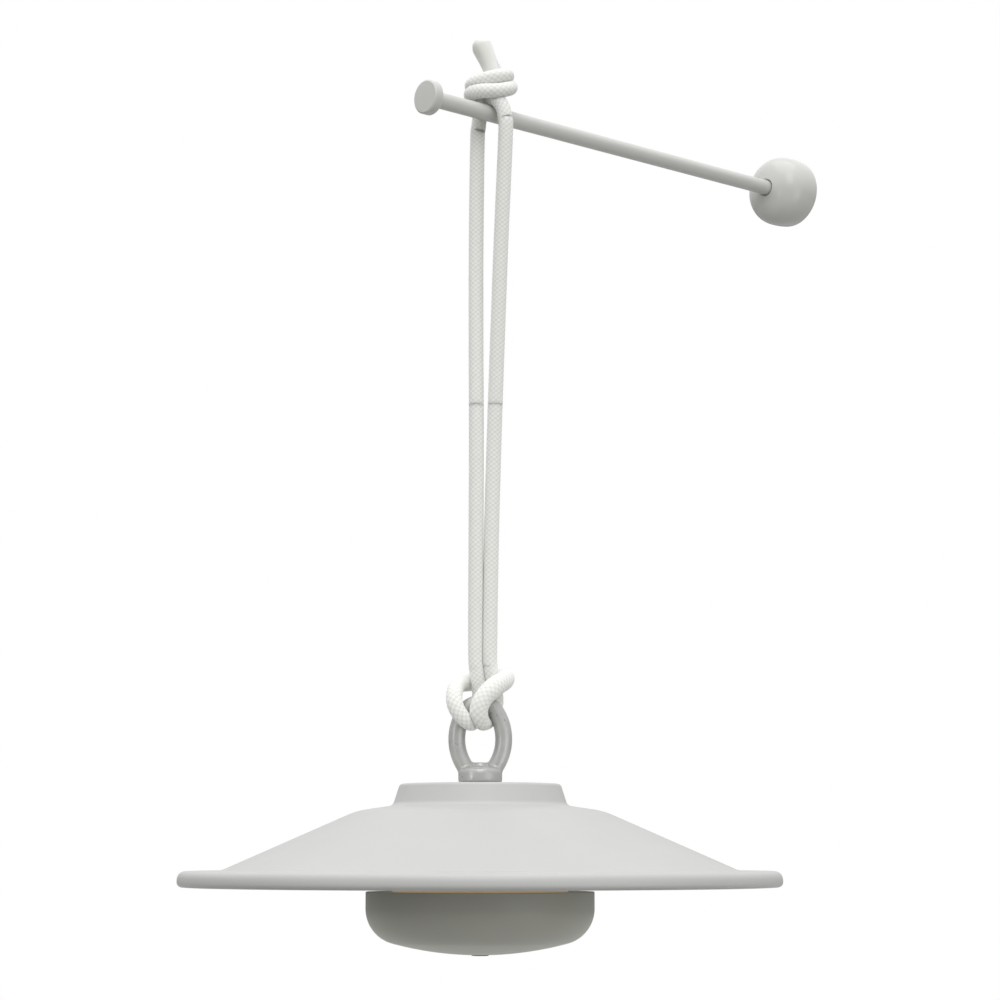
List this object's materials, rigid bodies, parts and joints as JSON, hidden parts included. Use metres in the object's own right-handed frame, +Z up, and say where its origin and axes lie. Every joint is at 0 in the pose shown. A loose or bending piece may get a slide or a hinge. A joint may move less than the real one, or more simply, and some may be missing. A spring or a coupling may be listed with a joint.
{
  "type": "hanging lamp",
  "caption": "Portable rechargeable lamp with a shallow metal shade and a round light unit below it, hung by a doubled rope from a wall arm.",
  "frame": {"origin": "on the wall's surface, on the axis of the arm and of its hanger bolt", "axes": "+Y into the wall along the hanger bolt, -Y out along the arm, +Z up"},
  "size_m": [0.33, 0.4575, 0.5183],
  "materials": {
    "powder_white": "white powder coat, satin",
    "powder_grey": "pale grey powder coat, satin",
    "zinc_steel": "zinc-plated steel",
    "rope": "braided white polyester cord",
    "satin_eye": "satin cast aluminium",
    "seal_rubber": "black silicone rubber",
    "shade_white": "spun sheet, white powder coat",
    "housing_grey": "die-cast, mid grey powder coat",
    "lid_aluminium": "plain sheet",
    "board_white": "white solder mask",
    "led_phosphor": "yellow phosphor",
    "opal_diffuser": "opal acrylic",
    "cell_wrap": "shrink wrap over steel cans",
    "black_plastic": "moulded ABS",
    "nickel_strip": "nickel-plated sheet",
    "board_green": "green solder mask",
    "lead_silicone": "silicone insulation",
    "lens_clear": "clear acrylic light pipe",
    "button_dark": "dark grey silicone",
    "flap_rubber": "grey silicone"
  },
  "bodies": {
    "bracket": {"wall_knob": "powder_white", "arm_rod": "powder_grey", "end_cap": "powder_grey", "hanger_bolt": "zinc_steel"},
    "knot": {"rope_knot": "rope", "rope_end_sleeve": "rope"},
    "strands": {"rope_rear_strand": "rope", "rope_front_strand": "rope"},
    "lamp": {"ring_hitch": "rope", "eye_ring": "satin_eye", "eye_gasket": "seal_rubber", "shade": "shade_white", "hub_plate": "zinc_steel", "lock_washer": "zinc_steel", "stem_tube": "zinc_steel", "stem_nut": "zinc_steel", "housing_shell": "housing_grey", "housing_seal": "seal_rubber", "lid": "lid_aluminium", "lid_screws": "zinc_steel", "heat_plate": "lid_aluminium", "led_board": "board_white", "leds": "led_phosphor", "diffuser": "opal_diffuser", "battery_cells": "cell_wrap", "battery_holder": "black_plastic", "holder_screws": "zinc_steel", "cell_contacts": "nickel_strip", "control_board": "board_green", "board_screws": "zinc_steel", "charge_socket": "nickel_strip", "led_leads": "lead_silicone", "lead_grommet": "seal_rubber", "button_switch": "black_plastic", "indicator_lens": "lens_clear"},
    "button": {"button_cap": "button_dark"},
    "flap": {"port_flap": "flap_rubber"}
  },
  "joints": [
    {"name": "rope_slide", "type": "slide", "parent": "bracket", "child": "knot", "axis": [0, 1, 0], "range_m": [-0.03, 0.08]},
    {"name": "rope_swing", "type": "hinge", "parent": "knot", "child": "strands", "pos_m": [0, -0.2655, 0], "axis": [0, 1, 0], "range_deg": [-20, 20], "deforming": ["rope_rear_strand", "rope_front_strand"]},
    {"name": "lamp_tilt", "type": "hinge", "parent": "strands", "child": "lamp", "pos_m": [0, -0.2735, -0.3369], "axis": [0.682, 0.7314, 0], "range_deg": [-20, 20], "deforming": ["rope_rear_strand", "rope_front_strand"]},
    {"name": "button_press", "type": "slide", "parent": "lamp", "child": "button", "axis": [0, 0, 1], "range_m": [0, 0.0012], "stiffness_N_per_m": 400},
    {"name": "port_flap_hinge", "type": "hinge", "parent": "lamp", "child": "flap", "pos_m": [-0.04388, -0.23258, -0.45474], "axis": [-0.682, -0.7314, 0], "range_deg": [0, 90]}
  ]
}
